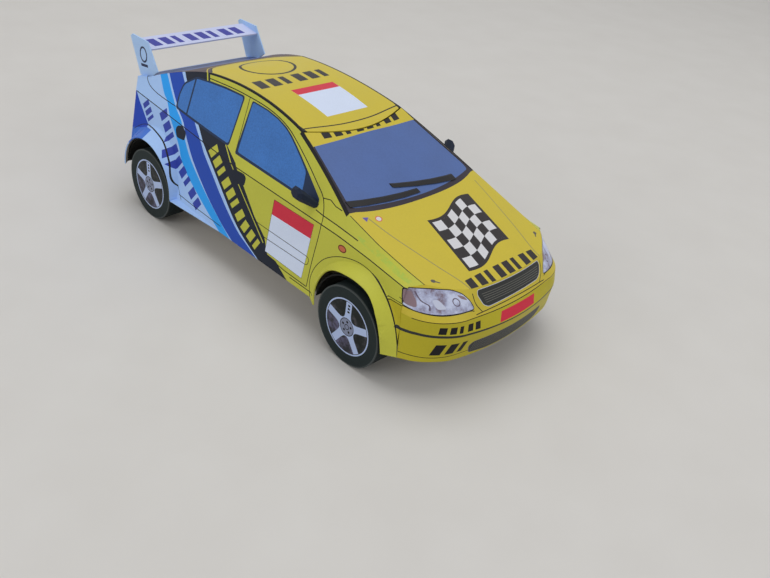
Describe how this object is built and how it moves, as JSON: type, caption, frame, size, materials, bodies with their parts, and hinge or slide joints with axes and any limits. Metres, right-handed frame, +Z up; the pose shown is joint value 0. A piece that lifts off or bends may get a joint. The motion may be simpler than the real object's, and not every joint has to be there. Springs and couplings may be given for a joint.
{
  "type": "card model rally car",
  "caption": "Printed-card scale model of a rally hatchback with a rear wing and four printed wheels on two turning axles.",
  "frame": {"origin": "on the ground, under the middle of the model's box", "axes": "+X forward, +Y to the car's left, +Z up"},
  "size_m": [0.1715, 0.0738, 0.0586],
  "materials": {
    "printed_card": "satin",
    "plain_card": "matte",
    "black_card": "matte",
    "tyre_card": "matte",
    "wood": "matte"
  },
  "bodies": {
    "body": {"side_right": "printed_card", "side_left": "printed_card", "bonnet": "printed_card", "nose": "printed_card", "roof": "printed_card", "windscreen": "printed_card", "rear_window": "printed_card", "shelf": "printed_card", "tail": "printed_card", "floor": "plain_card", "arch_box_front_right": "black_card", "arch_box_front_left": "black_card", "arch_box_rear_right": "black_card", "arch_box_rear_left": "black_card", "axle_tube_front": "plain_card", "axle_tube_rear": "plain_card", "wing_plate_right": "printed_card", "wing_plate_left": "printed_card", "wing_plane": "printed_card", "mirror_right": "black_card", "mirror_left": "black_card", "wiper_near": "black_card", "wiper_far": "black_card"},
    "front_axle": {"axle_front": "wood", "wheel_drum_front_right": "tyre_card", "wheel_drum_front_left": "tyre_card", "wheel_face_front_right": "printed_card", "wheel_face_front_left": "printed_card"},
    "rear_axle": {"axle_rear": "wood", "wheel_drum_rear_right": "tyre_card", "wheel_drum_rear_left": "tyre_card", "wheel_face_rear_right": "printed_card", "wheel_face_rear_left": "printed_card"}
  },
  "joints": [
    {"name": "front_axle_spin", "type": "hinge", "parent": "body", "child": "front_axle", "pos_m": [0.05265, 0, 0.013], "axis": [0, 1, 0], "continuous": true},
    {"name": "rear_axle_spin", "type": "hinge", "parent": "body", "child": "rear_axle", "pos_m": [-0.05595, 0, 0.013], "axis": [0, 1, 0], "continuous": true}
  ]
}
